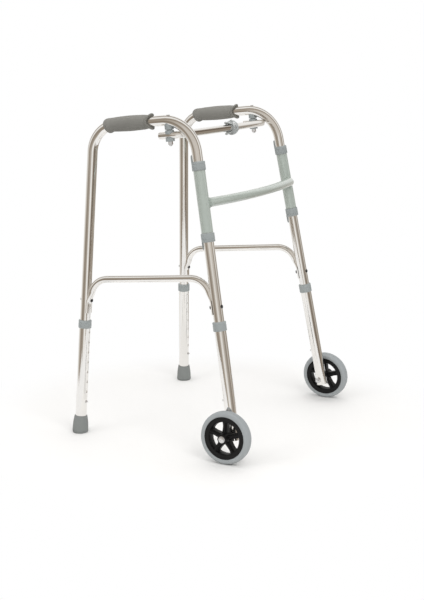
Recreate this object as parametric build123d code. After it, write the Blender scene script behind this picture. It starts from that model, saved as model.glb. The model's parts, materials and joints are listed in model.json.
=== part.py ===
"""Folding walking frame: two bent-tube side frames that turn in the sleeves of a painted front
brace, a top bar in two halves that meet in a centre lock, telescopic legs held by snap buttons,
two rubber feet and two front wheels. Millimetres, +Z up, the front faces -Y, and the user stands at
+Y. The drawing is laid out from the floor point midway between the four legs, then moved so that the
origin is on the floor at the middle of the whole width and length."""
import math
import os

from build123d import *

# ---- stance of the side frames ----
HALF_WIDTH = 220.0  # centre plane to the top tube's centreline
TOP_HEIGHT = 780.0  # top tube's centreline above the floor, where it crosses y = 0
SPLAY = 3.45  # degrees that each side frame leans outward going down
TOP_SLOPE = 5.8  # degrees that the top tube falls toward the rear, on the shortest rear legs
REAR_RAKE = 2.2  # degrees that the rear legs lean back going down
FRONT_RAKE = 10.3  # degrees that the front legs lean forward going down
REAR_REACH = 221.0  # y of the rear leg line at the floor
FRONT_REACH = 221.0  # -y of the front leg line at the floor
REAR_BEND = 70.0
FRONT_BEND = 84.0
ORIGIN_Y = 14.8  # moves the drawing forward or back so that the origin is the middle of the whole length

# ---- tubes ----
TUBE_OD = 25.0
TUBE_WALL = 1.5
LEG_OD = 28.0
FIT = 0.08  # radial clearance of a running fit
APART = 0.4  # gap between faces that pass each other
RAIL_OD = 17.0
RAIL_WALL = 1.5
RAIL_HEIGHT = 408.0
RAIL_BEND = 50.0
BAR_OD = 17.0
BAR_WALL = 1.5

# ---- distances along a leg, from the floor ----
PITCH = 25.4  # between the height holes
HOLE_DIA = 7.0
REAR_INNER_END = 64.0  # lower end of the side tube inside the rear leg
REAR_BUTTON = 79.0
REAR_HOLES = 8
REAR_COLLAR = (266.0, 286.0)
FRONT_INNER_END = 129.0
FRONT_BUTTON = 142.0
FRONT_HOLES = 7
FRONT_COLLAR = (305.5, 327.5)
COLLAR_OD = 32.0
STOP_LOWER = (514.0, 535.0)
STOP_UPPER = (680.0, 701.0)
STOP_TONGUE = 18.0
TONGUE_THICK = 3.5
SLEEVE_OD = 28.0

# ---- grip, foot, wheel ----
GRIP_FRONT = 26.0  # y of the grip's front end
GRIP_LENGTH = 131.0
GRIP_DIA = 37.0
FOOT_BASE_DIA = 39.0
FOOT_TOP_DIA = 32.0
FOOT_TOP = 42.0
FOOT_FLOOR = 9.0  # rubber below the tube's end
WHEEL_RADIUS = 62.5
TREAD_FLAT = 8.0
TYRE_WIDTH = 25.0
RIM_RADIUS = 50.5
RIM_SIDE = 12.0  # mid plane to the rim's face
BOSS_DIA = 25.0
WHEEL_OFFSET = 35.0  # leg's axis to the wheel's mid plane
HUB_INNER = 16.5  # mid plane to the boss's end beside the leg
HUB_OUTER = 22.0  # mid plane to the boss's outer end
AXLE_BACK = 2.5  # axle behind the leg's axis
AXLE_DIA = 8.0
BUSH_DIA = 12.0
SPOKES = 5
WHEEL_LEG_END = 46.5

# ---- top bar and its pivots ----
PIVOT_X = 221.0
PIVOT_Y = -19.0
PIVOT_Z = 747.0  # bar's centreline at its pivot
STUB = 27.0  # arm's length behind the pivot
BAR_REACH = 36.5  # arm's length in front of the pivot
BAR_BOW = 12.0  # the bar's middle is this much farther forward
BAR_CORNER = 36.0
PIVOT_BOLT = 6.0
SADDLE_DIA = 21.0
SADDLE_SPLIT = 11.5  # above the bar's centreline, where the fixed saddle meets the turning one
CAP_BOTTOM = 14.3

# ---- front brace ----
CROSS_OD = 22.0
CROSS_HEIGHT = 597.0
CROSS_BOW = 20.0
CROSS_SET = 12.5  # the cross tube's axis in front of the sleeve's
CROSS_SHORT = 4.0  # its ends stop this far inside the sleeves' axes

# ---- centre lock ----
LEFT_BAR_END = 5.0  # how far the left half runs past the middle
RIGHT_BAR_GAP = 8.6  # the middle to the end of the right half
MOUTH_DEPTH = 34.0
THROAT = 7.0
LOCK_WIDTH = 14.0
HUB_LENGTH = 16.0
RING_OUTER = 18.0
RING_INNER = 15.2
RING_LENGTH = 5.6
SKIRTS = ((-5.6, -2.4), (4.4, 7.9))  # half discs either side of the ring, along the bar
SKIRT_DIA = 33.0
LOCK_PIN = 3.2


def rad(deg):
    return math.radians(deg)


# ================= places =================
# A side frame is drawn flat in the plane x = 0, then leaned out and moved to +X.
LEAN = Pos(HALF_WIDTH, 0, TOP_HEIGHT) * Rot(0, -SPLAY, 0) * Pos(0, 0, -TOP_HEIGHT)
REAR_LEG = Pos(0, REAR_REACH, 0) * Rot(REAR_RAKE, 0, 0)  # local z runs up the leg
FRONT_LEG = Pos(0, -FRONT_REACH, 0) * Rot(-FRONT_RAKE, 0, 0)


def on_rear(z):
    return (REAR_REACH - z * math.tan(rad(REAR_RAKE)), z)


def on_front(z):
    return (-FRONT_REACH + z * math.tan(rad(FRONT_RAKE)), z)


def crossing(on_leg, height):
    """Where a leg line meets a line that falls toward the rear at TOP_SLOPE."""
    z = height
    for _ in range(20):
        z = height - on_leg(z)[0] * math.tan(rad(TOP_SLOPE))
    return on_leg(z)


def corner_points(before, corner, after, radius):
    """Start, middle and end of the arc of that radius in a corner, as plane points."""
    bx, by = before[0] - corner[0], before[1] - corner[1]
    ax, ay = after[0] - corner[0], after[1] - corner[1]
    lb, la = math.hypot(bx, by), math.hypot(ax, ay)
    ub, ua = (bx / lb, by / lb), (ax / la, ay / la)
    half = math.acos(ub[0] * ua[0] + ub[1] * ua[1]) / 2
    reach = radius / math.tan(half)
    sx, sy = ub[0] + ua[0], ub[1] + ua[1]
    ls = math.hypot(sx, sy)
    mid = radius / math.sin(half) - radius
    return (
        (corner[0] + ub[0] * reach, corner[1] + ub[1] * reach),
        (corner[0] + sx / ls * mid, corner[1] + sy / ls * mid),
        (corner[0] + ua[0] * reach, corner[1] + ua[1] * reach),
    )


def bent_path(points, radii, to_space):
    """A wire through plane points with an arc in each inner corner."""
    edges = []
    last = points[0]
    for i, radius in enumerate(radii):
        start, middle, end = corner_points(points[i], points[i + 1], points[i + 2], radius)
        edges.append(Line(to_space(last), to_space(start)))
        edges.append(ThreePointArc(to_space(start), to_space(middle), to_space(end)))
        last = end
    edges.append(Line(to_space(last), to_space(points[-1])))
    return Wire(edges)


def in_side(p):
    return Vector(0, p[0], p[1])


def pipe(path, outer, wall):
    """A round tube swept along a wire."""
    ends = Plane(path @ 0, z_dir=path % 0)
    outside = sweep(ends * Circle(outer / 2), path=path)
    inside = sweep(ends * Circle(outer / 2 - wall), path=path)
    return outside - inside


def rod(dia, low, high):
    return Pos(0, 0, (low + high) / 2) * Cylinder(dia / 2, high - low)


def ring(outer, inner, low, high):
    return rod(outer, low, high) - rod(inner, low - 1, high + 1)


def across(dia, z, low, high, to_rear):
    """A rod that crosses a leg at height z, along the leg frame's y."""
    sign = 1 if to_rear else -1
    return Pos(0, sign * (low + high) / 2, z) * Rot(90, 0, 0) * Cylinder(dia / 2, high - low)


PARTS = {}


def both_sides(name, flat):
    """Keep a piece drawn flat in the side plane, leaned out, once on each side."""
    placed = LEAN * flat
    PARTS["left_" + name] = placed
    PARTS["right_" + name] = mirror(placed, about=Plane.YZ)


def both(name, placed):
    PARTS["left_" + name] = placed
    PARTS["right_" + name] = mirror(placed, about=Plane.YZ)


# ================= side frame =================
REAR_CORNER = crossing(on_rear, TOP_HEIGHT)
FRONT_CORNER = crossing(on_front, TOP_HEIGHT)
RIVETS = {"rear": 337.0, "front": 362.0}
SADDLE_LENGTH = 44.0


def leg_height(along, rake):
    return along * math.cos(rad(rake))


def top_z(y):
    return TOP_HEIGHT - y * math.tan(rad(TOP_SLOPE))


def side_frame():
    low_rear = on_rear(leg_height(REAR_INNER_END, REAR_RAKE))
    low_front = on_front(leg_height(FRONT_INNER_END, FRONT_RAKE))
    path = bent_path([low_rear, REAR_CORNER, FRONT_CORNER, low_front], [REAR_BEND, FRONT_BEND], in_side)
    tube = pipe(path, TUBE_OD, TUBE_WALL)
    tube -= REAR_LEG * across(HOLE_DIA, REAR_BUTTON, 0, TUBE_OD, False)
    tube -= FRONT_LEG * across(HOLE_DIA, FRONT_BUTTON, 0, TUBE_OD, True)
    tube -= REAR_LEG * Pos(0, 0, RIVETS["rear"]) * Rot(90, 0, 0) * Cylinder(2.5, 2 * TUBE_OD)
    tube -= FRONT_LEG * Pos(0, 0, RIVETS["front"]) * Rot(90, 0, 0) * Cylinder(2.5, 2 * TUBE_OD)
    return tube


def rail_path():
    """The rail's centreline: level with the top tube, then down against the inner edge of each leg."""
    inset = TUBE_OD / 2 + 1.5

    def rear(z):
        return (on_rear(z)[0] - inset, z)

    def front(z):
        return (on_front(z)[0] + inset, z)

    corners = [crossing(rear, RAIL_HEIGHT), crossing(front, RAIL_HEIGHT)]
    ends = [rear(corners[0][1] - 62), front(corners[1][1] - 62)]
    return bent_path([ends[0], *corners, ends[1]], [RAIL_BEND, RAIL_BEND], in_side)


def rail_saddle(leg, middle, to_rear):
    """The rail's flattened end, which cups the leg."""
    shell = ring(TUBE_OD + 9, TUBE_OD, middle - SADDLE_LENGTH / 2, middle + SADDLE_LENGTH / 2)
    sign = 1 if to_rear else -1
    keep = Pos(0, sign * (TUBE_OD / 2 + 1), middle) * Box(20, 16, SADDLE_LENGTH)
    hole = Pos(0, 0, middle) * Rot(90, 0, 0) * Cylinder(2.5, 3 * TUBE_OD)
    return leg * ((shell & keep) - hole)


def side_rail():
    tube = pipe(rail_path(), RAIL_OD, RAIL_WALL)
    body = tube + rail_saddle(REAR_LEG, RIVETS["rear"], False)
    body += rail_saddle(FRONT_LEG, RIVETS["front"], True)
    body -= REAR_LEG * rod(TUBE_OD, 200, 600)
    body -= FRONT_LEG * rod(TUBE_OD, 200, 600)
    body -= REAR_LEG * Pos(0, 0, 280) * Box(60, 60, 2 * (RIVETS["rear"] - SADDLE_LENGTH / 2 - 280))
    body -= FRONT_LEG * Pos(0, 0, 300) * Box(60, 60, 2 * (RIVETS["front"] - SADDLE_LENGTH / 2 - 300))
    body -= REAR_LEG * Pos(0, 0, RIVETS["rear"]) * Rot(90, 0, 0) * Cylinder(2.5, 3 * TUBE_OD)
    body -= FRONT_LEG * Pos(0, 0, RIVETS["front"]) * Rot(90, 0, 0) * Cylinder(2.5, 3 * TUBE_OD)
    return body.solids().sort_by(SortBy.VOLUME)[-1]


def rail_rivets():
    reach = TUBE_OD / 2 + 4.5
    out = []
    for leg, z, to_rear in ((REAR_LEG, RIVETS["rear"], False), (FRONT_LEG, RIVETS["front"], True)):
        sign = 1 if to_rear else -1
        shank = across(5, z, -TUBE_OD / 2 - 1, reach + 1, to_rear)
        head = Pos(0, sign * (reach + 1), z) * Rot(90, 0, 0) * Cylinder(4.5, 2)
        tail = Pos(0, -sign * (TUBE_OD / 2 + 1), z) * Rot(90, 0, 0) * Cylinder(4.2, 2)
        out.append(leg * (shank + head + tail))
    return Compound(out)


def hand_grip():
    """A moulded grip: fuller in the middle, with a lip at each end, following the tube."""
    top = [FRONT_CORNER, REAR_CORNER]
    start, middle, end = corner_points(top[0], REAR_CORNER, on_rear(300), REAR_BEND)
    slope = rad(TOP_SLOPE)
    front = (GRIP_FRONT, top_z(GRIP_FRONT))
    straight = math.hypot(start[0] - front[0], start[1] - front[1])
    turn = (GRIP_LENGTH - straight) / REAR_BEND
    centre = (start[0] - REAR_BEND * math.sin(slope), start[1] - REAR_BEND * math.cos(slope))

    def on_bend(a):
        return (
            centre[0] + REAR_BEND * math.sin(slope + a),
            centre[1] + REAR_BEND * math.cos(slope + a),
        )

    arc = ThreePointArc(in_side(start), in_side(on_bend(turn / 2)), in_side(on_bend(turn)))
    path = Wire([Line(in_side(front), in_side(start)), arc])
    body = sweep(Plane(path @ 0, z_dir=path % 0) * Circle(GRIP_DIA / 2 - 1.5), path=path)
    swell = Pos(0, (front[0] + start[0]) / 2, (front[1] + start[1]) / 2) * Rot(90 - TOP_SLOPE, 0, 0)
    body += swell * Cylinder(GRIP_DIA / 2, straight * 0.8)
    body += Pos(0, front[0] + 4, front[1]) * Rot(90 - TOP_SLOPE, 0, 0) * Cylinder(GRIP_DIA / 2 + 1, 8)
    return body - bore_of_top()


def bore_of_top():
    path = bent_path([on_rear(600), REAR_CORNER, FRONT_CORNER, on_front(650)],
                     [REAR_BEND, FRONT_BEND], in_side)
    return sweep(Plane(path @ 0, z_dir=path % 0) * Circle(TUBE_OD / 2), path=path)


# ================= telescopic legs =================
LEG_BORE = TUBE_OD + 2 * FIT


def height_holes(first, count, to_rear):
    holes = [across(HOLE_DIA, first + i * PITCH, 0, LEG_OD, to_rear) for i in range(count)]
    return Compound(holes)


def rear_leg_extension():
    tube = ring(LEG_OD, LEG_BORE, FOOT_FLOOR, REAR_COLLAR[1] - 3)
    return REAR_LEG * (tube - height_holes(REAR_BUTTON, REAR_HOLES, False))


def leg_collar(leg, span):
    """The plastic mouth of a lower leg: a band outside the tube with a lip over its end."""
    low, high = span
    band = rod(COLLAR_OD, low, high) - rod(LEG_OD, low - 1, high - 3) - rod(LEG_BORE, low, high + 1)
    return leg * band


def rear_foot():
    side = [(0, -6), (FOOT_BASE_DIA / 2, -6), (FOOT_BASE_DIA / 2, 6), (FOOT_TOP_DIA / 2 + 1, 30)]
    side += [(FOOT_TOP_DIA / 2, FOOT_TOP), (LEG_OD / 2, FOOT_TOP), (LEG_OD / 2, FOOT_FLOOR), (0, FOOT_FLOOR)]
    tip = revolve(Plane.XZ * make_face(Polyline(*side, close=True)), axis=Axis.Z)
    placed = LEAN * REAR_LEG * tip
    return placed - Pos(HALF_WIDTH, REAR_REACH, -50) * Box(300, 300, 100)


def snap_button(leg, z, to_rear):
    """A round-nosed button whose flange bears on the inside of the side tube."""
    sign = 1 if to_rear else -1
    dia = HOLE_DIA - 2 * APART
    inner = TUBE_OD / 2 - TUBE_WALL
    nose = across(dia, z, inner - 3, LEG_OD / 2 + 1, to_rear)
    nose += Pos(0, sign * (LEG_OD / 2 + 1), z) * Sphere(dia / 2)
    flange = across(dia + 2.6, z, inner - 4.6, inner - 1.6, to_rear)
    return leg * (nose + flange)


def button_spring(leg, z, to_rear):
    """A bent leaf inside the side tube, behind the button."""
    sign = 1 if to_rear else -1
    inner = TUBE_OD / 2 - TUBE_WALL
    behind = inner - 4.6
    against = inner - 1.4
    near = Pos(0, sign * (behind - 0.4), z + 7) * Box(6, 0.8, 26)
    far = Pos(0, -sign * (against - 0.4), z + 7) * Box(6, 0.8, 26)
    bow = Pos(0, sign * (behind - against) / 2, z + 19.6) * Box(6, behind + against, 0.8)
    return leg * (near + far + bow)


# ================= wheel leg and wheel =================
AXLE_UP = (WHEEL_RADIUS * math.cos(rad(SPLAY)) + TREAD_FLAT / 2 * math.sin(rad(SPLAY)))
AXLE_DROP = TOP_HEIGHT - AXLE_UP + WHEEL_OFFSET * math.sin(rad(SPLAY))
AXLE_FLAT = TOP_HEIGHT - AXLE_DROP / math.cos(rad(SPLAY))
AXLE = Pos(0, on_front(AXLE_FLAT)[0] + AXLE_BACK, AXLE_FLAT)  # local x is the axle
SCREW_ALONG = 119.0


def turned(profile):
    """Revolve (x, radius) points about the axle."""
    face = make_face(Polyline(*[(x, r) for x, r in profile], close=True))
    return revolve(Plane.XZ * face, axis=Axis.X)


def axle_rod(dia, low, high):
    return Pos((low + high) / 2, 0, 0) * Rot(0, 90, 0) * Cylinder(dia / 2, high - low)


def front_leg_extension():
    tube = ring(LEG_OD, LEG_BORE, WHEEL_LEG_END, FRONT_COLLAR[1] - 3)
    tube -= height_holes(FRONT_BUTTON, FRONT_HOLES, True)
    tube -= Pos(LEG_OD / 2, 0, SCREW_ALONG) * Rot(0, 90, 0) * Cylinder(2, LEG_OD)
    return FRONT_LEG * tube - AXLE * axle_rod(AXLE_DIA, -LEG_OD, LEG_OD)


def wheel_leg_plug():
    plug = rod(LEG_BORE, WHEEL_LEG_END, FRONT_INNER_END - 3)
    plug -= Pos(LEG_OD / 2, 0, SCREW_ALONG) * Rot(0, 90, 0) * Cylinder(2, LEG_OD)
    return FRONT_LEG * plug - AXLE * axle_rod(AXLE_DIA, -LEG_OD, LEG_OD)


def wheel_leg_screw():
    shank = Pos(LEG_OD / 2 - 5, 0, SCREW_ALONG) * Rot(0, 90, 0) * Cylinder(2, 10)
    head = Pos(LEG_OD / 2 + 1.2, 0, SCREW_ALONG) * Rot(0, 90, 0) * Cylinder(4, 2.4)
    return FRONT_LEG * (shank + head)


def axle_spacer():
    return AXLE * (axle_rod(16, LEG_OD / 2, WHEEL_OFFSET - HUB_INNER - APART) - axle_rod(AXLE_DIA, 0, 60))


def axle_bolt():
    outer = WHEEL_OFFSET + HUB_OUTER + APART
    shank = axle_rod(AXLE_DIA, -LEG_OD / 2 - 1, outer)
    washer = axle_rod(16, outer, outer + 1.5)
    head = axle_rod(13, outer + 1.5, outer + 5.5)
    slot = Pos(outer + 5.5, 0, 0) * Box(2.4, 10, 1.6)
    return AXLE * (shank + washer + head - slot)


def axle_nut():
    inner = -LEG_OD / 2
    nut = Pos(inner - 6, 0, 0) * Rot(0, 90, 0) * extrude(RegularPolygon(6.5, 6), 6)
    return AXLE * (nut - axle_rod(AXLE_DIA, -LEG_OD / 2 - 1, 0))


def wheel_hub():
    """Rim, ribbed spokes and a boss, moulded in one."""
    bead = 3.0
    rim = turned([(-RIM_SIDE, 37.5), (RIM_SIDE, 37.5), (RIM_SIDE, RIM_RADIUS), (4, RIM_RADIUS),
                  (4, RIM_RADIUS - bead), (-4, RIM_RADIUS - bead), (-4, RIM_RADIUS), (-RIM_SIDE, RIM_RADIUS)])
    boss = axle_rod(BOSS_DIA, -HUB_INNER, HUB_OUTER)
    hub = rim + boss
    for i in range(SPOKES):
        web = Pos(0, 0, 25) * Box(9, 15, 32)
        rib = Pos(0, 0, 25) * Box(19, 4.5, 32)
        hub += Rot(i * 360 / SPOKES, 0, 0) * (web + rib)
    hub -= axle_rod(BUSH_DIA, -2 * HUB_INNER, 2 * HUB_OUTER)
    return AXLE * Pos(WHEEL_OFFSET, 0, 0) * hub


def tyre():
    half = TYRE_WIDTH / 2
    outer = [(-half, 52), (-half, 56.5), (-8.5, 61.2), (-TREAD_FLAT / 2, WHEEL_RADIUS)]
    outer += [(TREAD_FLAT / 2, WHEEL_RADIUS), (8.5, 61.2), (half, 56.5), (half, 52), (RIM_SIDE, RIM_RADIUS)]
    inner = [(4, RIM_RADIUS), (4, RIM_RADIUS - 3), (-4, RIM_RADIUS - 3)]
    inner += [(-4, RIM_RADIUS), (-RIM_SIDE, RIM_RADIUS)]
    return AXLE * Pos(WHEEL_OFFSET, 0, 0) * turned(outer + inner)


def wheel_bush():
    bush = axle_rod(BUSH_DIA, -HUB_INNER, HUB_OUTER)
    bush -= axle_rod(AXLE_DIA + 2 * FIT, -HUB_INNER - 1, HUB_OUTER + 1)
    return AXLE * Pos(WHEEL_OFFSET, 0, 0) * bush


# ================= front brace =================
def cross_point(x, forward):
    y = on_front(CROSS_HEIGHT)[0] - CROSS_SET
    return Vector(x, y - forward, CROSS_HEIGHT)


def front_brace():
    """Two sleeves that the front legs turn in, and a bowed cross tube notched round their fronts."""
    low, high = STOP_LOWER[1] + APART, STOP_UPPER[0] - APART
    sleeve = LEAN * FRONT_LEG * rod(SLEEVE_OD, low, high)
    hollow = LEAN * FRONT_LEG * rod(LEG_BORE, low - 1, high + 1)
    reach = HALF_WIDTH + (TOP_HEIGHT - CROSS_HEIGHT) * math.tan(rad(SPLAY)) - CROSS_SHORT
    path = ThreePointArc(cross_point(-reach, 0), cross_point(0, CROSS_BOW), cross_point(reach, 0))
    ends = Plane(path @ 0, z_dir=path % 0)
    cross = sweep(ends * Circle(CROSS_OD / 2), path=path)
    bore = sweep(ends * Circle(CROSS_OD / 2 - 1.5), path=path)
    body = cross + sleeve + mirror(sleeve, about=Plane.YZ)
    inner = bore - (LEAN * FRONT_LEG * rod(SLEEVE_OD, 0, 900)) - mirror(
        LEAN * FRONT_LEG * rod(SLEEVE_OD, 0, 900), about=Plane.YZ)
    return body - inner - hollow - mirror(hollow, about=Plane.YZ)


def brace_stops():
    """The collars that hold each sleeve's height, each with a tongue along the back of the leg."""
    out = []
    for (low, high), up in ((STOP_LOWER, False), (STOP_UPPER, True)):
        collar = ring(COLLAR_OD, TUBE_OD, low, high)
        z0, z1 = (high, high + STOP_TONGUE) if up else (low - STOP_TONGUE, low)
        outer = TUBE_OD + 2 * TONGUE_THICK
        shell = ring(outer, TUBE_OD, z0 - 1, z1) if up else ring(outer, TUBE_OD, z0, z1 + 1)
        tongue = shell & (Pos(0, TUBE_OD / 2, (z0 + z1) / 2) * Box(11, 12, STOP_TONGUE + 2))
        out.append(FRONT_LEG * (collar + tongue))
    return Compound([s for piece in out for s in piece.solids()])


# ================= top bar =================
# The bar lies in a plane parallel to the top tubes. TILT carries that plane to its place.
TILT = Pos(0, PIVOT_Y, PIVOT_Z) * Rot(-TOP_SLOPE, 0, 0)
PIVOT = TILT * Pos(PIVOT_X, 0, 0)
TOP_LIFT = (top_z(PIVOT_Y) - PIVOT_Z) * math.cos(rad(TOP_SLOPE))
BOW_ANGLE = math.degrees(math.atan2(BAR_BOW, PIVOT_X))
LOCK = TILT * Pos(0, -BAR_REACH - BAR_BOW, 0) * Rot(0, 0, BOW_ANGLE)  # local x runs along the left half


def in_bar(p):
    return Vector(p[0], p[1], 0)


def bar_half(end_x, wall=BAR_WALL):
    """One half of the bar: a short arm under the top tube, a corner, then the front run to end_x."""
    corner = (PIVOT_X, -BAR_REACH)
    end = (end_x, -BAR_REACH - BAR_BOW * (1 - end_x / PIVOT_X))
    path = bent_path([(PIVOT_X, STUB), corner, end], [BAR_CORNER], in_bar)
    return TILT * pipe(path, BAR_OD, wall) - PIVOT * Cylinder(PIVOT_BOLT / 2 + FIT, 60)


def left_half():
    """The left half also carries the lock's pin and rivet."""
    bar = bar_half(-LEFT_BAR_END)
    bar -= LOCK * Pos(PIN_X, 0, BAR_OD / 2) * Cylinder(LOCK_PIN / 2 + FIT, BAR_OD)
    return bar - rivet_shank()


def pivot_saddle():
    """The fixed saddle, cupped against the underside of the top tube."""
    body = PIVOT * rod(SADDLE_DIA, SADDLE_SPLIT + 1.8, TOP_LIFT - 7)
    body += PIVOT * rod(SADDLE_DIA - 7, SADDLE_SPLIT + 0.3, SADDLE_SPLIT + 2)
    body -= LEAN * bore_of_top()
    return body - PIVOT * Cylinder(PIVOT_BOLT / 2, 120)


def bar_saddles():
    """The two saddles that turn with the bar, one above it and one below."""
    both_cups = PIVOT * rod(SADDLE_DIA, 3, SADDLE_SPLIT) + PIVOT * rod(SADDLE_DIA, -CAP_BOTTOM, -5)
    both_cups -= bar_half(100, BAR_OD / 2 - 0.5)
    both_cups -= PIVOT * Rot(90, 0, 0) * Cylinder(BAR_OD / 4, 60)
    both_cups -= PIVOT * Cylinder(PIVOT_BOLT / 2 + FIT, 120)
    return Compound(both_cups.solids())


def pivot_bolt():
    shank = PIVOT * rod(PIVOT_BOLT, -CAP_BOTTOM - 8, TOP_LIFT + TUBE_OD / 2 - 0.1)
    head = PIVOT * rod(8, TOP_LIFT + TUBE_OD / 2 - 4, TOP_LIFT + TUBE_OD / 2)
    return shank + (head - LEAN * bore_of_top())


def pivot_nut():
    low = -CAP_BOTTOM - 0.3
    nut = extrude(RegularPolygon(5.6, 6), -7.2)
    dome = Pos(0, 0, -7) * Sphere(4.2)
    return PIVOT * (Pos(0, 0, low) * (nut + dome) - Pos(0, 0, low) * Cylinder(PIVOT_BOLT / 2, 15.4))


# ================= centre lock =================
CORE_DIA = BAR_OD + 5.2
PIN_X = 1.0
RIVET_X = 11.5


def rivet_shank():
    return LOCK * Pos(RIVET_X, 0, -5) * Rot(90, 0, 0) * Cylinder(2, 2 * CORE_DIA)


def lock_body():
    """A hub fixed on the left half, with a flared fork that the right half rests in."""
    room = BAR_OD / 2 + 0.6
    roof = room + 3.5
    upper = [(HUB_LENGTH - 4, roof - 1), (-THROAT, roof + 0.5), (-MOUTH_DEPTH, roof + 3.5)]
    upper += [(-MOUTH_DEPTH, roof + 1.5), (-THROAT - 6, room), (-THROAT, room)]
    lower = [(x, -z) for x, z in reversed(upper)]
    face = Plane.XZ * make_face(Polyline(*upper, *lower, close=True))
    body = extrude(face, LOCK_WIDTH / 2, both=True)
    body += axle_rod(CORE_DIA, -THROAT, HUB_LENGTH)
    body -= ring_space()
    below = Pos(0, 0, -RING_OUTER / 2 - 1) * Box(80, 80, RING_OUTER)
    for low, high in SKIRTS:
        body += (axle_rod(SKIRT_DIA, low, high) - axle_rod(BAR_OD + 2, low - 1, high + 1)) & below
    body -= axle_rod(BAR_OD, -LEFT_BAR_END - 0.1, HUB_LENGTH + 1)
    body -= Pos(PIN_X, 0, 15) * Cylinder(LOCK_PIN / 2 + FIT, 30)
    return LOCK * body - rivet_shank()


def ring_space():
    """The groove in which the release ring rises."""
    low, high = PIN_X - RING_LENGTH / 2 - APART, PIN_X + RING_LENGTH / 2 + APART
    return axle_rod(80, low, high) - axle_rod(CORE_DIA, low - 1, high + 1)


def lock_ring():
    """The release ring: a hoop round the hub with a boss at its top that carries the pin."""
    low, high = PIN_X - RING_LENGTH / 2, PIN_X + RING_LENGTH / 2
    hoop = axle_rod(2 * RING_OUTER, low, high) - axle_rod(2 * RING_INNER, low - 1, high + 1)
    boss = Pos(PIN_X, 0, RING_INNER - 0.6) * Box(RING_LENGTH, 8, 4)
    boss -= axle_rod(CORE_DIA + 2 * APART, -20, 20)
    return LOCK * (hoop + boss - Pos(PIN_X, 0, 0) * Cylinder(LOCK_PIN / 2, 60))


def lock_pin():
    return LOCK * Pos(PIN_X, 0, 0) * rod(LOCK_PIN, 4.6, RING_OUTER + 0.6)


def lock_spring():
    """A coil under the pin, inside the left half."""
    coil = Helix(pitch=1.6, height=8, radius=2.4)
    wire = sweep(Plane(coil @ 0, z_dir=coil % 0) * Circle(0.4), path=coil)
    return LOCK * Pos(PIN_X, 0, -4.3) * wire


def lock_rivet():
    """The rivet that holds the lock to the left half."""
    seat = CORE_DIA / 2 + 0.1
    heads = Rot(90, 0, 0) * (rod(6.8, -seat - 1.6, seat + 1.6) - rod(8, -seat, seat))
    shank = Rot(90, 0, 0) * rod(4, -seat - 1, seat + 1)
    return LOCK * Pos(RIVET_X, 0, -5) * (shank + heads)


# ================= assemble =================
both("side_frame", LEAN * side_frame() - PIVOT * Cylinder(PIVOT_BOLT / 2 + FIT, 120))
both_sides("side_rail", side_rail())
both_sides("rail_rivets", rail_rivets())
both_sides("hand_grip", hand_grip())
both_sides("rear_leg_extension", rear_leg_extension())
both_sides("rear_leg_collar", leg_collar(REAR_LEG, REAR_COLLAR))
both("rear_foot", rear_foot())
both_sides("rear_snap_button", snap_button(REAR_LEG, REAR_BUTTON, False))
both_sides("front_snap_button", snap_button(FRONT_LEG, FRONT_BUTTON, True))
both_sides("rear_button_spring", button_spring(REAR_LEG, REAR_BUTTON, False))
both_sides("front_button_spring", button_spring(FRONT_LEG, FRONT_BUTTON, True))
both_sides("front_leg_extension", front_leg_extension())
both_sides("front_leg_collar", leg_collar(FRONT_LEG, FRONT_COLLAR))
both_sides("wheel_leg_plug", wheel_leg_plug())
both_sides("wheel_leg_screw", wheel_leg_screw())
both_sides("axle_spacer", axle_spacer())
both_sides("axle_bolt", axle_bolt())
both_sides("axle_nut", axle_nut())
both_sides("wheel_hub", wheel_hub())
both_sides("tyre", tyre())
both_sides("wheel_bush", wheel_bush())
both_sides("brace_stops", brace_stops())
both("pivot_saddle", pivot_saddle())
both("bar_saddles", bar_saddles())
both("pivot_bolt", pivot_bolt())
both("pivot_nut", pivot_nut())
PARTS["left_top_bar"] = left_half()
PARTS["right_top_bar"] = mirror(bar_half(RIGHT_BAR_GAP), about=Plane.YZ)
PARTS["front_brace"] = front_brace()
PARTS["centre_lock_body"] = lock_body()
PARTS["centre_lock_ring"] = lock_ring()
PARTS["centre_lock_pin"] = lock_pin()
PARTS["centre_lock_spring"] = lock_spring()
PARTS["centre_lock_rivet"] = lock_rivet()

os.makedirs("parts", exist_ok=True)
for name, shape in PARTS.items():
    export_step(Pos(0, ORIGIN_Y, 0) * shape, f"parts/{name}.step")
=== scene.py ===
"""A folding walking frame in a plain studio. Metres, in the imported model's frame: +Z up, front at -Y."""

import json
import math

import bmesh
import bpy
from mathutils import Matrix, Vector


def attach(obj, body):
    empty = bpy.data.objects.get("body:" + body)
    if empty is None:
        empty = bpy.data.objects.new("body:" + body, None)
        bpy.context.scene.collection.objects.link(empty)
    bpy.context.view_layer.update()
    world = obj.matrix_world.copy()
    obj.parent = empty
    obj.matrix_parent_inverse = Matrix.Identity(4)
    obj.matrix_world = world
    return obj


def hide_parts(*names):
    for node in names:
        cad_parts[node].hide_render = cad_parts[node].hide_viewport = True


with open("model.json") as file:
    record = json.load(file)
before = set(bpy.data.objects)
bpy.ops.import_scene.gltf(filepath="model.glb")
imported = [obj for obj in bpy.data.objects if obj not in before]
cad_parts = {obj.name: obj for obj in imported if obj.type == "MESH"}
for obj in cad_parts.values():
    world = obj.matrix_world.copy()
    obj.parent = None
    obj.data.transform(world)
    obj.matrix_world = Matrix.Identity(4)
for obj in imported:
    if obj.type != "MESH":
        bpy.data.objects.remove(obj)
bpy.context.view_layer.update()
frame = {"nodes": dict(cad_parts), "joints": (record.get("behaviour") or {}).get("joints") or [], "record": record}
nodes = frame["nodes"]
joints = {j["name"]: j for j in frame["joints"]}
MM = 0.001
SIDES = {"left": 1, "right": -1}

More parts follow.
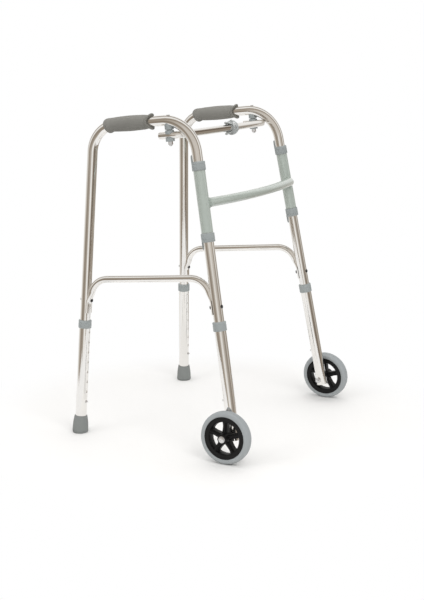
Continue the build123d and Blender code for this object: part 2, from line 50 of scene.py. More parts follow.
# ---- driving dimensions, as in the CAD, in millimetres ----
HALF_WIDTH = 220.0
TOP_HEIGHT = 780.0
SPLAY = math.radians(3.45)
TOP_SLOPE = math.radians(5.8)
REAR_RAKE = math.radians(2.2)
FRONT_RAKE = math.radians(10.3)
REACH = 221.0
ORIGIN_Y = 14.8
REAR_BEND = 70.0
FRONT_BEND = 84.0
TUBE_R = 12.5
LEG_R = 14.0
COLLAR_R = 16.0
RAIL_R = 8.5
RAIL_HEIGHT = 408.0
RAIL_BEND = 50.0
RAIL_DROP = 84.0  # from a rail's corner down to the end of its saddle
REAR_RIVET, FRONT_RIVET = 337.0, 362.0
REAR_TUBE_END, FRONT_TUBE_END = 66.0, 131.0  # the side tube's lower ends, inside the lower legs
GRIP_FRONT = 26.0  # y of the grip's mouth
GRIP_LENGTH = 131.0
GRIP_R = 16.9
REAR_COLLAR = (266.0, 286.0)
FRONT_COLLAR = (305.5, 327.5)
STOP_LOWER = (514.0, 535.0)
STOP_UPPER = (680.0, 701.0)
STOP_TONGUE = 18.0  # how far a stop's tongue reaches past its band
STOP_SPREAD = 26.0  # half the angle that it covers, in degrees
CROSS_HEIGHT = 597.0
CROSS_R = 11.0
CROSS_BOW = 20.0
CROSS_SET = 12.5  # the cross tube's axis in front of the sleeve's
CROSS_SHORT = 4.0  # its ends stop this far inside the sleeves' axes
SHARP = math.radians(34)  # edges sharper than this stay crisp


# ================= materials =================
def colour(r, g, b):
    """An sRGB colour, 0 to 255, as linear RGBA."""
    curve = [(v / 255 / 12.92) if v < 10 else ((v / 255 + 0.055) / 1.055) ** 2.4 for v in (r, g, b)]
    return (*curve, 1)


class Nodes:
    """A short way to write a node tree."""

    def __init__(self, name):
        self.material = bpy.data.materials.new(name)
        self.material.use_nodes = True
        self.tree = self.material.node_tree
        self.shader = self.tree.nodes["Principled BSDF"]
        self.where = self.add("ShaderNodeTexCoord").outputs["Object"]

    def add(self, kind, **values):
        node = self.tree.nodes.new(kind)
        for key, value in values.items():
            setattr(node, key, value)
        return node

    def link(self, a, b):
        self.tree.links.new(a, b)

    def set(self, **values):
        for key, value in values.items():
            self.shader.inputs[key.replace("_", " ")].default_value = value

    def noise(self, scale, detail=3.0, rough=0.55, stretch=None):
        node = self.add("ShaderNodeTexNoise")
        node.inputs["Scale"].default_value = scale
        node.inputs["Detail"].default_value = detail
        node.inputs["Roughness"].default_value = rough
        where = self.where
        if stretch:
            mapping = self.add("ShaderNodeMapping")
            mapping.inputs["Scale"].default_value = stretch
            self.link(where, mapping.inputs["Vector"])
            where = mapping.outputs["Vector"]
        self.link(where, node.inputs["Vector"])
        return node.outputs["Fac"]

    def spread(self, value, low, high, start=0.3, end=0.7):
        node = self.add("ShaderNodeMapRange")
        for key, number in (("From Min", start), ("From Max", end), ("To Min", low), ("To Max", high)):
            node.inputs[key].default_value = number
        self.link(value, node.inputs["Value"])
        return node.outputs["Result"]

    def mix(self, fac, a, b):
        node = self.add("ShaderNodeMix", data_type="RGBA")
        node.inputs["A"].default_value = a
        node.inputs["B"].default_value = b
        self.link(fac, node.inputs["Factor"])
        return node.outputs["Result"]

    def base(self, value):
        self.link(value, self.shader.inputs["Base Color"])

    def roughness(self, value):
        self.link(value, self.shader.inputs["Roughness"])

    def bump(self, value, strength, distance):
        node = self.add("ShaderNodeBump")
        node.inputs["Strength"].default_value = strength
        node.inputs["Distance"].default_value = distance
        self.link(value, node.inputs["Height"])
        if self.shader.inputs["Normal"].is_linked:
            self.link(self.shader.inputs["Normal"].links[0].from_socket, node.inputs["Normal"])
        self.link(node.outputs["Normal"], self.shader.inputs["Normal"])


def metal(name, light, dark, low, high, drawn=True):
    n = Nodes(name)
    n.set(Metallic=1.0)
    cloud = n.noise(9, 4)
    n.base(n.mix(n.spread(cloud, 0, 1), light, dark))
    n.roughness(n.spread(n.noise(26, 5, 0.6), low, high))
    if drawn:
        n.bump(n.noise(60, 3, 0.6, (14, 14, 0.6)), 0.05, 0.0004)
    n.bump(n.noise(900, 2), 0.03, 0.0002)
    return n.material


def plastic(name, main, worn, low, high, grain, depth, coat=0.0, shine=0.45):
    n = Nodes(name)
    n.set(Coat_Weight=coat, Coat_Roughness=0.08, Specular_IOR_Level=shine)
    cloud = n.noise(14, 5, 0.6)
    n.base(n.mix(n.spread(cloud, 0, 1, 0.25, 0.75), main, worn))
    n.roughness(n.spread(n.noise(40, 4), low, high))
    n.bump(n.noise(grain, 3), depth, 0.0004)
    return n.material


def grey(v):
    return (v, v, v, 1)


MATERIALS = {
    "polished_aluminium": metal("polished aluminium", (0.88, 0.865, 0.84, 1), (0.8, 0.785, 0.76, 1),
                                0.06, 0.13),
    "bright_steel": metal("bright steel", grey(0.75), (0.62, 0.62, 0.63, 1), 0.16, 0.3, False),
    "spring_steel": metal("spring steel", (0.4, 0.4, 0.41, 1), grey(0.3), 0.3, 0.45, False),
    "dark_rivet": metal("dark rivet", grey(0.1), grey(0.05), 0.35, 0.5, False),
    "green_paint": plastic("green paint", colour(174, 182, 174), colour(170, 178, 170),
                           0.14, 0.22, 320, 0.03, coat=1.0),
    "grey_plastic": plastic("grey plastic", colour(158, 163, 162), colour(149, 154, 153),
                            0.42, 0.58, 900, 0.15),
    # The lock's plastic is the grey plastic painted lighter: painted light that brightens the lock where it sits
    # in shade.
    "lock_plastic_painted_light": plastic("lock plastic painted light", colour(186, 189, 187), colour(176, 179, 177),
                            0.2, 0.34, 900, 0.1, coat=0.5),
    "grip": plastic("grip", colour(134, 132, 126), colour(123, 121, 115), 0.6, 0.78, 1300, 0.4),
    "grey_rubber": plastic("grey rubber", colour(134, 137, 134), colour(123, 126, 124),
                           0.6, 0.75, 900, 0.3),
    "grey_tyre": plastic("grey tyre", colour(159, 163, 164), colour(150, 154, 155), 0.55, 0.7, 900, 0.2),
    "black_plastic": plastic("black plastic", grey(0.004), grey(0.007), 0.4, 0.55, 600, 0.1, shine=0.2),
}
slot_of = {s["node"]: s["material_slot"] for s in frame["record"]["subparts"]}
for name, obj in nodes.items():
    obj.data.materials.clear()
    obj.data.materials.append(MATERIALS[slot_of[name]])


# ================= mesh kit =================
def flat_to_world(p):
    """A point drawn in the flat side plane (millimetres) to the left side, in metres."""
    c, s = math.cos(SPLAY), math.sin(SPLAY)
    x, y, z = p
    dz = z - TOP_HEIGHT
    return Vector((HALF_WIDTH + x * c - dz * s, y + ORIGIN_Y, TOP_HEIGHT + x * s + dz * c)) * MM


def straight(p):
    """A point in the drawing's millimetres to metres."""
    return Vector((p[0], p[1] + ORIGIN_Y, p[2])) * MM


def leg_place(reach, rake):
    """Carries a piece drawn along local z to a leg of the flat side plane."""
    turn = Matrix.Rotation(rake, 4, "X")
    return lambda p: flat_to_world(turn @ Vector(p) + Vector((0, reach, 0)))


rear_leg = leg_place(REACH, REAR_RAKE)
front_leg = leg_place(-REACH, -FRONT_RAKE)
SIDEWAYS = Vector((1, 0, 0))


class Mesh:
    """A mesh in millimetres, put in place by a function from its own space to the left side."""

    def __init__(self, place=straight):
        self.bm = bmesh.new()
        self.place = place

    def rings(self, rings, close_ends=True, loop=False):
        """Faces between rings of points that have the same count."""
        rows = [[self.bm.verts.new(p) for p in ring] for ring in rings]
        pairs = list(zip(rows[:-1], rows[1:]))
        if loop:
            pairs.append((rows[-1], rows[0]))
        count = len(rows[0])
        for a, b in pairs:
            for i in range(count):
                j = (i + 1) % count
                self.bm.faces.new((a[i], a[j], b[j], b[i]))
        if close_ends and not loop:
            self.bm.faces.new(rows[0][::-1])
            self.bm.faces.new(rows[-1])
        return self

    def lathe(self, profile, steps=48, axis="z", loop=False):
        """Turns (radius, height) points about the z or x axis. A loop is a closed band's section."""
        rings = []
        for radius, h in profile:
            ring = []
            for i in range(steps):
                a = 2 * math.pi * i / steps
                p = (radius * math.cos(a), radius * math.sin(a), h)
                ring.append(p if axis == "z" else (p[2], p[0], p[1]))
            rings.append(ring)
        return self.rings(rings, close_ends=not loop, loop=loop)

    def sweep(self, path, section, sideways=SIDEWAYS):
        """Sweeps section(distance, total) = [(side, out)...] along a path. Side is close to sideways."""
        total = sum((b - a).length for a, b in zip(path[:-1], path[1:]))
        rings, run = [], 0.0
        for i, p in enumerate(path):
            if i:
                run += (p - path[i - 1]).length
            ahead = (path[min(i + 1, len(path) - 1)] - path[max(i - 1, 0)]).normalized()
            side = sideways - ahead * sideways.dot(ahead)
            side.normalize()
            out = ahead.cross(side)
            rings.append([p + side * u + out * v for u, v in section(run, total)])
        return self.rings(rings)

    def prism(self, outline, low, high):
        """Pushes an outline of (y, z) points along x, from low to high."""
        return self.rings([[(x, y, z) for y, z in outline] for x in (low, high)])

    def make(self, name, body, slot, cad=(), side=1, bevel=0.0, material=None):
        """The finished piece, on its body, in place of its CAD nodes."""
        bm = self.bm
        for v in bm.verts:
            p = self.place(v.co)
            v.co = (side * p[0], p[1], p[2])
        bmesh.ops.recalc_face_normals(bm, faces=bm.faces)
        mesh = bpy.data.meshes.new(name)
        bm.to_mesh(mesh)
        bm.free()
        mesh.shade_smooth()
        mesh.set_sharp_from_angle(angle=SHARP)
        obj = bpy.data.objects.new(name, mesh)
        obj.data.materials.append(MATERIALS[material or slot])
        bpy.context.collection.objects.link(obj)
        if bevel:
            mod = obj.modifiers.new("soft edges", "BEVEL")
            mod.width = bevel * MM
            mod.segments = 3
            mod.limit_method = "ANGLE"
            mod.angle_limit = SHARP
            mod.harden_normals = True
        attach(obj, body)
        if cad:
            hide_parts(*cad)
        return obj


def circle(radius, steps=32):
    pts = [(radius * math.cos(2 * math.pi * i / steps), radius * math.sin(2 * math.pi * i / steps))
           for i in range(steps)]
    return lambda run, total: pts


def on_rear(z):
    return Vector((0, REACH - z * math.tan(REAR_RAKE), z))


def on_front(z):
    return Vector((0, -REACH + z * math.tan(FRONT_RAKE), z))


def crossing(on_leg, height):
    """Where a leg line meets a line that falls to the rear at TOP_SLOPE."""
    z = height
    for _ in range(20):  # settles long before the last step
        z = height - on_leg(z).y * math.tan(TOP_SLOPE)
    return on_leg(z)


def bent(points, radii, steps=14):
    """A path through points with a true arc in each inner corner, finely divided."""
    path = [points[0]]
    for before, corner, after, radius in zip(points, points[1:], points[2:], radii):
        u, w = (before - corner).normalized(), (after - corner).normalized()
        half = u.angle(w) / 2
        centre = corner + (u + w).normalized() * radius / math.sin(half)
        start = corner + u * radius / math.tan(half) - centre
        end = corner + w * radius / math.tan(half) - centre
        turn = start.angle(end)
        for i in range(steps + 1):
            t = i / steps
            arm = (start * math.sin((1 - t) * turn) + end * math.sin(t * turn)) / math.sin(turn)
            path.append(centre + arm)
    path.append(points[-1])
    return path


def divided(path, longest):
    """The same path with no step longer than the given one."""
    out = [path[0]]
    for a, b in zip(path[:-1], path[1:]):
        parts = max(1, math.ceil((b - a).length / longest))
        out += [a.lerp(b, (i + 1) / parts) for i in range(parts)]
    return out


REAR_CORNER = crossing(on_rear, TOP_HEIGHT)
FRONT_CORNER = crossing(on_front, TOP_HEIGHT)


def each_side():
    for name, side in SIDES.items():
        yield name + "_", side


# ================= side frames =================
def side_frames():
    """A tube bent at the top of each leg."""
    ends = on_rear(REAR_TUBE_END), on_front(FRONT_TUBE_END)
    path = bent([ends[0], REAR_CORNER, FRONT_CORNER, ends[1]], [REAR_BEND, FRONT_BEND], 28)
    for n, side in each_side():
        Mesh(flat_to_world).sweep(path, circle(TUBE_R, 48)).make(
            n + "bent_tube", n + "frame", "polished_aluminium", [n + "side_frame"], side)


def side_rails():
    """A tube whose ends are pressed flat into saddles that cup the legs."""
    flat_until, round_from = 26.0, 52.0  # distances from a rail's end
    half_width, half_thick, gap = 11.6, 1.7, 1.5
    off = Vector((0, TUBE_R + 1.6, 0))
    corners = [crossing(lambda z: on_rear(z) - off, RAIL_HEIGHT),
               crossing(lambda z: on_front(z) + off, RAIL_HEIGHT)]
    start = on_rear(corners[0].z - RAIL_DROP) - off
    end = on_front(corners[1].z - RAIL_DROP) + off
    path = divided(bent([start, *corners, end], [RAIL_BEND, RAIL_BEND], 20), 4.0)

    def section(run, total):
        """A round that flattens, and wraps the leg, toward each end."""
        near = min(run, total - run)
        t = min(1.0, max(0.0, (near - flat_until) / (round_from - flat_until)))
        t = t * t * (3 - 2 * t)
        pts = []
        for i in range(40):
            a = 2 * math.pi * i / 40
            u, v = math.cos(a), math.sin(a)
            round_u, round_v = RAIL_R * u, RAIL_R * v
            wide = half_width * (abs(u) ** 0.75) * (1 if u >= 0 else -1)
            cup = TUBE_R - math.sqrt(max(0.0, (TUBE_R + gap) ** 2 - wide * wide)) + gap
            thick = half_thick * (abs(v) ** 0.6) * (1 if v >= 0 else -1)
            flat_v = thick + cup
            pts.append((wide + (round_u - wide) * t, flat_v + (round_v - flat_v) * t))
        return pts

    for n, side in each_side():
        Mesh(flat_to_world).sweep(path, section).make(
            n + "rail", n + "frame", "polished_aluminium", [n + "side_rail"], side)


def hand_grips():
    """A soft moulded grip: a round rear end, a gentle swell, and a flared mouth cut in a curve."""
    steps, bore, bite_depth, bite_length = 56, TUBE_R + 0.05, 9.5, 26
    around = [2 * math.pi * k / steps for k in range(steps)]
    start = Vector((0, GRIP_FRONT, TOP_HEIGHT - GRIP_FRONT * math.tan(TOP_SLOPE)))
    path = bent([start, REAR_CORNER, on_rear(600)], [REAR_BEND], 40)
    line, run = [path[0]], 0.0
    for a, b in zip(path[:-1], path[1:]):
        step = (b - a).length
        if run + step > GRIP_LENGTH:
            line.append(a.lerp(b, (GRIP_LENGTH - run) / step))
            break
        run += step
        line.append(b)
    line = divided(line, 1.5)

    def radius_at(s):
        mouth = 2.6 * math.exp(-((s - 2.5) / 4.5) ** 2)
        waist = -1.1 * math.exp(-((s - 13) / 7) ** 2)
        swell = 1.5 * math.exp(-((s - 62) / 34) ** 2)
        bulb = 1.0 * math.exp(-((s - 122) / 6) ** 2)
        waist2 = -0.5 * math.exp(-((s - 109) / 6) ** 2)
        end = GRIP_LENGTH - s
        tip = 1.0 if end > 7 else math.sqrt(max(0.0, 1 - ((7 - end) / 7) ** 2)) * 0.32 + 0.68
        front = 1.0 if s > 2 else 0.93 + 0.035 * s
        return (GRIP_R + mouth + waist + swell + bulb + waist2) * tip * front

    for n, side in each_side():
        mesh = Mesh(flat_to_world)
        ahead = (line[1] - line[0]).normalized()
        rings, run = [], 0.0
        for i, p in enumerate(line):
            run += (p - line[i - 1]).length if i else 0.0
            fwd = (line[min(i + 1, len(line) - 1)] - line[max(i - 1, 0)]).normalized()
            out = fwd.cross(SIDEWAYS)
            ring = []
            for a in around:
                bite = bite_depth * math.cos(a) ** 2 * max(0.0, 1 - run / bite_length)
                grow = radius_at(run)
                ring.append(p + (SIDEWAYS * math.cos(a) + out * math.sin(a)) * grow + fwd * bite)
            rings.append(ring)
        out = ahead.cross(SIDEWAYS)
        hole = []
        for a in around:
            bite = bite_depth * math.cos(a) ** 2
            hole.append(line[0] + (SIDEWAYS * math.cos(a) + out * math.sin(a)) * bore + ahead * (bite + 2))
        back = line[-1]
        lip = [back + (q - back).normalized() * bore - fwd for q in rings[-1]]
        mesh.rings([hole, *rings, lip], close_ends=False)
        mesh.make(n + "grip_moulding", n + "frame", "grip", [n + "hand_grip"], side)


# ================= lower legs =================
def leg_collars():
    """The mouth of each lower leg: a band with a proud rim, a shallow groove and a lip over the end."""
    spots = (("rear", rear_leg, *REAR_COLLAR, "rear_leg"), ("front", front_leg, *FRONT_COLLAR, "wheel_leg"))
    for n, side in each_side():
        for word, place, low, high, body in spots:
            prof = [(LEG_R + 0.02, low), (COLLAR_R - 1.2, low), (COLLAR_R - 0.3, low + 0.4),
                    (COLLAR_R, low + 1.2), (COLLAR_R, high - 7.6), (COLLAR_R - 0.5, high - 7.0),
                    (COLLAR_R - 0.5, high - 6.2), (COLLAR_R, high - 5.6), (COLLAR_R, high - 1.6),
                    (COLLAR_R - 0.4, high - 0.5), (COLLAR_R - 1.6, high), (TUBE_R + 0.2, high),
                    (TUBE_R + 0.2, high - 2.8), (LEG_R + 0.02, high - 2.9)]
            Mesh(place).lathe(prof, 64, loop=True).make(
                f"{n}{word}_collar", n + body, "grey_plastic", [f"{n}{word}_leg_collar"], side)


def on_floor(place):
    """The same place, but nothing goes below the floor."""
    def put(p):
        q = place(p)
        return Vector((q.x, q.y, max(q.z, 0.0)))
    return put


def foot_tips():
    """A rubber tip: crowned sides, a rolled top edge, a fine groove near the sole, and a flat tread."""
    base, top, height = 19.6, 15.9, 42.0
    for n, side in each_side():
        prof = [(LEG_R, 9.2), (LEG_R, height - 0.6), (LEG_R + 0.5, height), (top - 0.7, height),
                (top - 0.1, height - 0.5), (top, height - 1.4)]
        for i in range(1, 15):
            t = i / 15
            h = height - 1.4 - t * (height - 6.4)
            prof.append((top + (base - top) * t ** 0.8 + 0.75 * math.sin(math.pi * t), h))
        prof += [(base + 0.3, 5.0), (base + 0.25, 3.9), (base - 0.35, 3.5), (base - 0.35, 2.9)]
        prof += [(base + 0.2, 2.5), (base + 0.05, 1.3), (base - 0.7, -0.4), (base - 1.7, -4.0)]
        Mesh(on_floor(rear_leg)).lathe(prof, 64).make(
            n + "foot_tip", n + "rear_leg", "grey_rubber", [n + "rear_foot"], side)


def rivets():
    """Domed rivets through the rail's saddles: one head outside the saddle, one behind the leg."""
    radius, rim = 4.6, 0.2
    spots = (("rear", rear_leg, REAR_RIVET, -1), ("front", front_leg, FRONT_RIVET, 1))
    for n, side in each_side():
        for word, place, z, sign in spots:
            for end, seat, high in ((sign, TUBE_R + 4.3, 2.2), (-sign, TUBE_R, 2.0)):
                def at(p, place=place, z=z, end=end, seat=seat):
                    return place((p[0], end * (seat + p[2]), z + p[1]))
                dome = [math.radians(10 * i) for i in range(1, 9)]
                prof = [(radius, -0.6), (radius, rim)]
                prof += [(radius * math.cos(a), rim + high * math.sin(a)) for a in dome]
                prof.append((0.4, rim + high))
                head = f"{n}{word}_rivet_{'inner' if end == sign else 'outer'}"
                cad = [n + "rail_rivets"] if word == "rear" and end == sign else []
                Mesh(at).lathe(prof, 28).make(head, n + "frame", "dark_rivet", cad, side)


# ================= wheels =================
WHEEL_MIDDLE = Vector(joints["left_wheel_spin"]["pos_m"]) / MM
AXLE_DIRECTION = Vector(joints["left_wheel_spin"]["axis"])
TYRE_R, TYRE_HALF = 62.5, 12.5
WASHER_FACE = 22.4  # from the wheel's mid plane out to the washer


def wheel_place(p):
    """Local x is the axle, and the wheel's mid plane is x = 0. Left side."""
    x_axis = AXLE_DIRECTION
    y_axis = Vector((0, 1, 0))
    z_axis = x_axis.cross(y_axis)
    return (WHEEL_MIDDLE + x_axis * p[0] + y_axis * p[1] + z_axis * p[2]) * MM


def tyres():
    """A solid tyre: a crowned tread with two fine grooves, round shoulders and a bead line."""
    prof = [(50.55, -11.6), (51.2, -11.9), (51.6, -12.1), (52.6, -12.4), (55.4, -TYRE_HALF)]
    prof += [(57.6, -12.2), (59.4, -11.2), (60.9, -9.6), (61.9, -7.4), (62.35, -5.2)]
    prof += [(62.4, -4.6), (61.9, -4.3), (61.9, -3.8), (TYRE_R, -3.5), (TYRE_R, 0.0)]
    prof += [(r, -x) for r, x in prof[-2::-1]]
    for n, side in each_side():
        Mesh(wheel_place).lathe(prof, 128, axis="x", loop=True).make(
            n + "tyre_moulding", n + "wheel", "grey_tyre", [n + "tyre"], side)


def hubs():
    """A moulded hub: a deep rim with a stepped face, five tapered ribbed spokes, and a boss."""
    spokes, webs = 5, ((5.6, 8.4, 1.7), (2.2, 11.2, 0.5))  # a web's half width, half depth and flare
    for n, side in each_side():
        hub = Mesh(wheel_place)
        rim = [(38.4, -9.6), (38.9, -11.0), (39.8, -11.9), (47.4, -12.0), (48.0, -12.5), (49.8, -12.5),
               (50.5, -11.9), (50.5, 11.9), (49.8, 12.5), (48.0, 12.5), (47.4, 12.0), (39.8, 11.9),
               (38.9, 11.0), (38.4, 9.6), (37.6, 0.0)]
        hub.lathe(rim, 128, axis="x", loop=True)
        boss = [(6.1, -16.5), (10.6, -16.5), (11.6, -16.1), (12.0, -15.0), (12.5, -9.0), (12.5, 15.0),
                (12.1, 20.4), (11.7, 21.5), (10.7, 22.0), (6.1, 22.0)]
        hub.lathe(boss, 64, axis="x", loop=True)
        for i in range(spokes):
            turn = Matrix.Rotation(2 * math.pi * i / spokes, 3, "X")
            for wide, deep, lean in webs:
                rows = []
                for r, w, d in ((11.5, wide + lean, deep), (18, wide + lean * 0.4, deep - 0.4),
                                (28, wide, deep - 0.8), (36, wide + lean * 0.4, deep),
                                (39.3, wide + lean * 1.4, deep)):
                    soft = min(1.2, w * 0.4)
                    loop = [(-d, -w + soft), (-d, w - soft), (-d + soft, w), (d - soft, w), (d, w - soft),
                            (d, -w + soft), (d - soft, -w), (-d + soft, -w)]
                    rows.append([turn @ Vector((x, y, r)) for x, y in loop])
                hub.rings(rows)
        hub.make(n + "hub_moulding", n + "wheel", "black_plastic", [n + "wheel_hub"], side)


def axle_parts():
    """A washer, a round head with a recess, a shank through the leg, and a domed nut behind it."""
    out = WASHER_FACE
    washer = [(3.9, out), (7.6, out), (7.88, out + 0.12), (8.0, out + 0.4),
              (8.0, out + 1.1), (7.88, out + 1.38), (7.6, out + 1.5), (3.9, out + 1.5)]
    head = [(6.4, out + 1.5), (6.5, out + 2.0), (6.3, out + 4.0), (5.6, out + 4.9),
            (4.3, out + 5.4), (2.6, out + 5.4), (2.2, out + 4.2), (0.3, out + 4.2)]
    for n, side in each_side():
        bolt = Mesh(wheel_place)
        bolt.lathe(washer, 48, axis="x", loop=True)
        bolt.lathe(head, 48, axis="x")
        bolt.lathe([(4.0, -50), (4.0, out + 2)], 32, axis="x")
        bolt.make(n + "axle_bolt_and_washer", n + "wheel_leg", "bright_steel", [n + "axle_bolt"], side)
        nut = Mesh(wheel_place)
        hexed = [(6.6 / math.cos(((a + 30) % 60 - 30) * math.pi / 180), a) for a in range(0, 360, 6)]
        rows = []
        for x, k in ((-49.2, 0.94), (-49.8, 1.0), (-54.2, 1.0), (-55.0, 0.93)):
            rows.append([(x, r * k * math.cos(math.radians(a)), r * k * math.sin(math.radians(a)))
                         for r, a in hexed])
        nut.rings(rows)
        nut.lathe([(5.4, -55.0), (4.9, -57.0), (3.4, -58.6), (0.4, -59.2)], 32, axis="x")
        nut.make(n + "axle_dome_nut", n + "wheel_leg", "bright_steel", [n + "axle_nut"], side)


# ================= front brace =================
def stop_collars():
    """Bands that keep each sleeve's height, with a rounded tongue down the back of the leg."""
    for n, side in each_side():
        for word, (low, high), up in (("lower", STOP_LOWER, False), ("upper", STOP_UPPER, True)):
            band = Mesh(front_leg)
            mid = high - 6.5 if up else low + 6.5
            prof = [(TUBE_R + 0.03, low), (COLLAR_R - 1.4, low), (COLLAR_R - 0.4, low + 0.4),
                    (COLLAR_R, low + 1.3), (COLLAR_R, mid - 0.9), (COLLAR_R - 0.45, mid - 0.4),
                    (COLLAR_R - 0.45, mid + 0.4), (COLLAR_R, mid + 0.9), (COLLAR_R, high - 1.3),
                    (COLLAR_R - 0.4, high - 0.4), (COLLAR_R - 1.4, high), (TUBE_R + 0.03, high)]
            band.lathe(prof, 64, loop=True)
            rows = []
            for i in range(13):
                across = (i - 6) / 6
                a = math.radians(90 + STOP_SPREAD * across)
                reach = STOP_TONGUE * math.sqrt(max(0.0, 1 - across ** 2 * 0.7))
                base = high - 2 if up else low + 2
                tip = high + reach - 1 if up else low - reach + 1
                edge = 0.5 if up else -0.5
                r0, r1 = TUBE_R + 0.03, TUBE_R + 3.5
                ring = [(r0, base), (r1, base), (r1, tip - 2 * edge), (r1 - 0.5, tip - edge * 0.6),
                        (r1 - 1.2, tip), (r0, tip)]
                rows.append([(r * math.cos(a), r * math.sin(a), h) for r, h in ring])
            band.rings(rows)
            cad = [n + "brace_stops"] if up else []
            band.make(f"{n}{word}_stop_collar", n + "frame", "grey_plastic", cad, side)


def cross_tube():
    """A bowed tube with rounded ends, notched to sit on the front of each sleeve."""
    end_y = on_front(CROSS_HEIGHT).y - CROSS_SET
    reach = HALF_WIDTH + (TOP_HEIGHT - CROSS_HEIGHT) * math.tan(SPLAY) - CROSS_SHORT
    path = []
    for i in range(81):
        t = -1 + 2 * i / 80
        path.append(Vector((reach * t, end_y - CROSS_BOW * (1 - t * t), CROSS_HEIGHT)))

    def rounded(run, total):
        """A circle that closes to a dome over the last 4 mm of each end."""
        near = min(run, total - run)
        k = math.sqrt(max(0.02, 1 - (1 - min(1.0, near / 4.0)) ** 2)) if near < 4 else 1.0
        return [(u * k, v * k) for u, v in circle(CROSS_R, 40)(0, 0)]

    fine = []
    for i, (a, b) in enumerate(zip(path[:-1], path[1:])):
        fine.append(a)
        if min(i, len(path) - 2 - i) < 3:
            fine += [a.lerp(b, k / 8) for k in range(1, 8)]
    fine.append(path[-1])
    cross = Mesh().sweep(fine, rounded, Vector((0, 0, 1)))
    notch = LEG_R - 0.6  # the cross tube stays this far from each sleeve's axis
    for sign in (1, -1):
        low, high = (front_leg((0, 0, z)) / MM - Vector((0, ORIGIN_Y, 0)) for z in (500, 700))
        low.x, high.x = sign * low.x, sign * high.x
        along = (high - low).normalized()
        for v in cross.bm.verts:
            off = v.co - low
            off -= along * off.dot(along)
            if off.length < notch:
                v.co += off.normalized() * (notch - off.length)
    cross.make("brace_cross_tube", "brace", "green_paint", ["front_brace"])


def sleeves():
    """The sleeves round the front legs, each with a rippled weld along the cross tube's notch."""
    for n, side in each_side():
        low, high = STOP_LOWER[1] + 0.4, STOP_UPPER[0] - 0.4
        prof = [(TUBE_R + 0.1, low), (LEG_R - 0.4, low), (LEG_R, low + 0.5), (LEG_R, high - 0.5),
                (LEG_R - 0.4, high), (TUBE_R + 0.1, high)]
        Mesh(front_leg).lathe(prof, 64, loop=True).make(
            n + "brace_sleeve", "brace", "green_paint", side=side)
        weld = Mesh(front_leg)
        centre = CROSS_HEIGHT / math.cos(FRONT_RAKE) - 0.2 - CROSS_SET * math.sin(FRONT_RAKE)
        edge = math.acos((CROSS_SET - math.sqrt(LEG_R ** 2 - CROSS_SHORT ** 2)) / CROSS_R)
        line = []
        for i in range(60):
            b = -edge + 2 * edge * i / 59
            y = CROSS_R * math.cos(b) - CROSS_SET
            line.append((-math.sqrt(max(0.0, (LEG_R + 0.1) ** 2 - y * y)), y, CROSS_R * math.sin(b)))
        top, bottom = line[-1], line[0]
        line += [tuple(u + (v - u) * i / 20 for u, v in zip(top, bottom)) for i in range(1, 20)]
        middle = Vector((-LEG_R, -CROSS_SET, 0))
        rows = []
        for i, p in enumerate(line):
            along = (Vector(line[(i + 1) % len(line)]) - Vector(line[i - 1])).normalized()
            out = (Vector(p) - middle).cross(along).cross(along).normalized()
            up = along.cross(out)
            bead = 1.5 + 0.3 * math.sin(2.1 * i)  # ripples
            place = Vector(p) + Vector((0, 0, centre))
            rows.append([place + out * bead * math.cos(b) + up * bead * math.sin(b)
                         for b in [2 * math.pi * k / 10 for k in range(10)]])
        weld.rings(rows, loop=True)
        weld.make(n + "brace_weld", "brace", "green_paint", side=side)


# ================= top bar and centre lock =================
PIVOT_Y, PIVOT_Z, PIVOT_X = -19.0, 747.0, 221.0
BAR_REACH, BAR_BOW = 36.5, 12.0
PIN_X = 1.0


def bar_place(p):
    """The plane of the top bar, level with its centreline at the pivots and tilted with the top tubes."""
    c, s = math.cos(TOP_SLOPE), math.sin(TOP_SLOPE)
    return straight((p[0], PIVOT_Y + p[1] * c + p[2] * s, PIVOT_Z - p[1] * s + p[2] * c))


def lock_place(p):
    """Local x runs along the left half from the lock's middle."""
    a = math.atan2(BAR_BOW, PIVOT_X)
    c, s = math.cos(a), math.sin(a)
    return bar_place((p[0] * c - p[1] * s, p[0] * s + p[1] * c - BAR_REACH - BAR_BOW, p[2]))


def lock_clip():
    """A clip on the left half: a round core, two flared jaws over the right half, and a skirt below."""
    body = Mesh(lock_place)
    core = [(8.55, -5.2), (8.55, 17.6), (9.4, 18.0), (10.2, 17.7), (10.8, 16.6), (11.1, 14.5), (11.1, 6.2),
            (11.1, -4.6), (11.1, -6.4), (10.6, -6.9), (8.0, -7.0), (8.0, -5.4)]
    body.lathe(core, 64, axis="x", loop=True)
    body.lathe([(0.3, -7.1), (10.3, -7.1), (10.3, -5.3), (0.3, -5.3)], 48, axis="x")
    for sign in (1, -1):
        rows = []
        for i in range(17):
            t = i / 16
            x = -5.0 - 29.0 * t
            flare = 4.4 * max(0.0, (t - 0.35) / 0.65) ** 1.8
            thick = 3.4 - 1.3 * t
            wide = (6.9 - 1.6 * t) * (math.sqrt(max(0.02, 1 - ((t - 0.8) / 0.2) ** 2)) if t > 0.8 else 1.0)
            ring = []
            low = 9.15 + flare
            for k in range(11):
                y = wide * (k / 5 - 1)
                crown = 1.5 * (1 - (y / 8.0) ** 2)
                ring.append((x, y, sign * (low + thick * (1 - 0.35 * (abs(y) / 8) ** 2) + crown - 1.0)))
            for k in range(11):
                y = wide * (1 - k / 5)
                ring.append((x, y, sign * low))
            rows.append(ring)
        body.rings(rows)
    skirt = []
    for k in range(33):
        a = math.radians(188 + 164 * k / 32)
        skirt.append((16.5 * math.cos(a), 16.5 * math.sin(a)))
    skirt += [(9.0, -0.8), (-9.0, -0.8)]
    body.prism(skirt, -5.6, -2.4)
    body.prism(skirt, 4.4, 7.9)
    # The lock is drawn in the grey plastic painted lighter: painted light.
    body.make("lock_clip", "left_bar", "grey_plastic", ["centre_lock_body"], bevel=0.5,
              material="lock_plastic_painted_light")


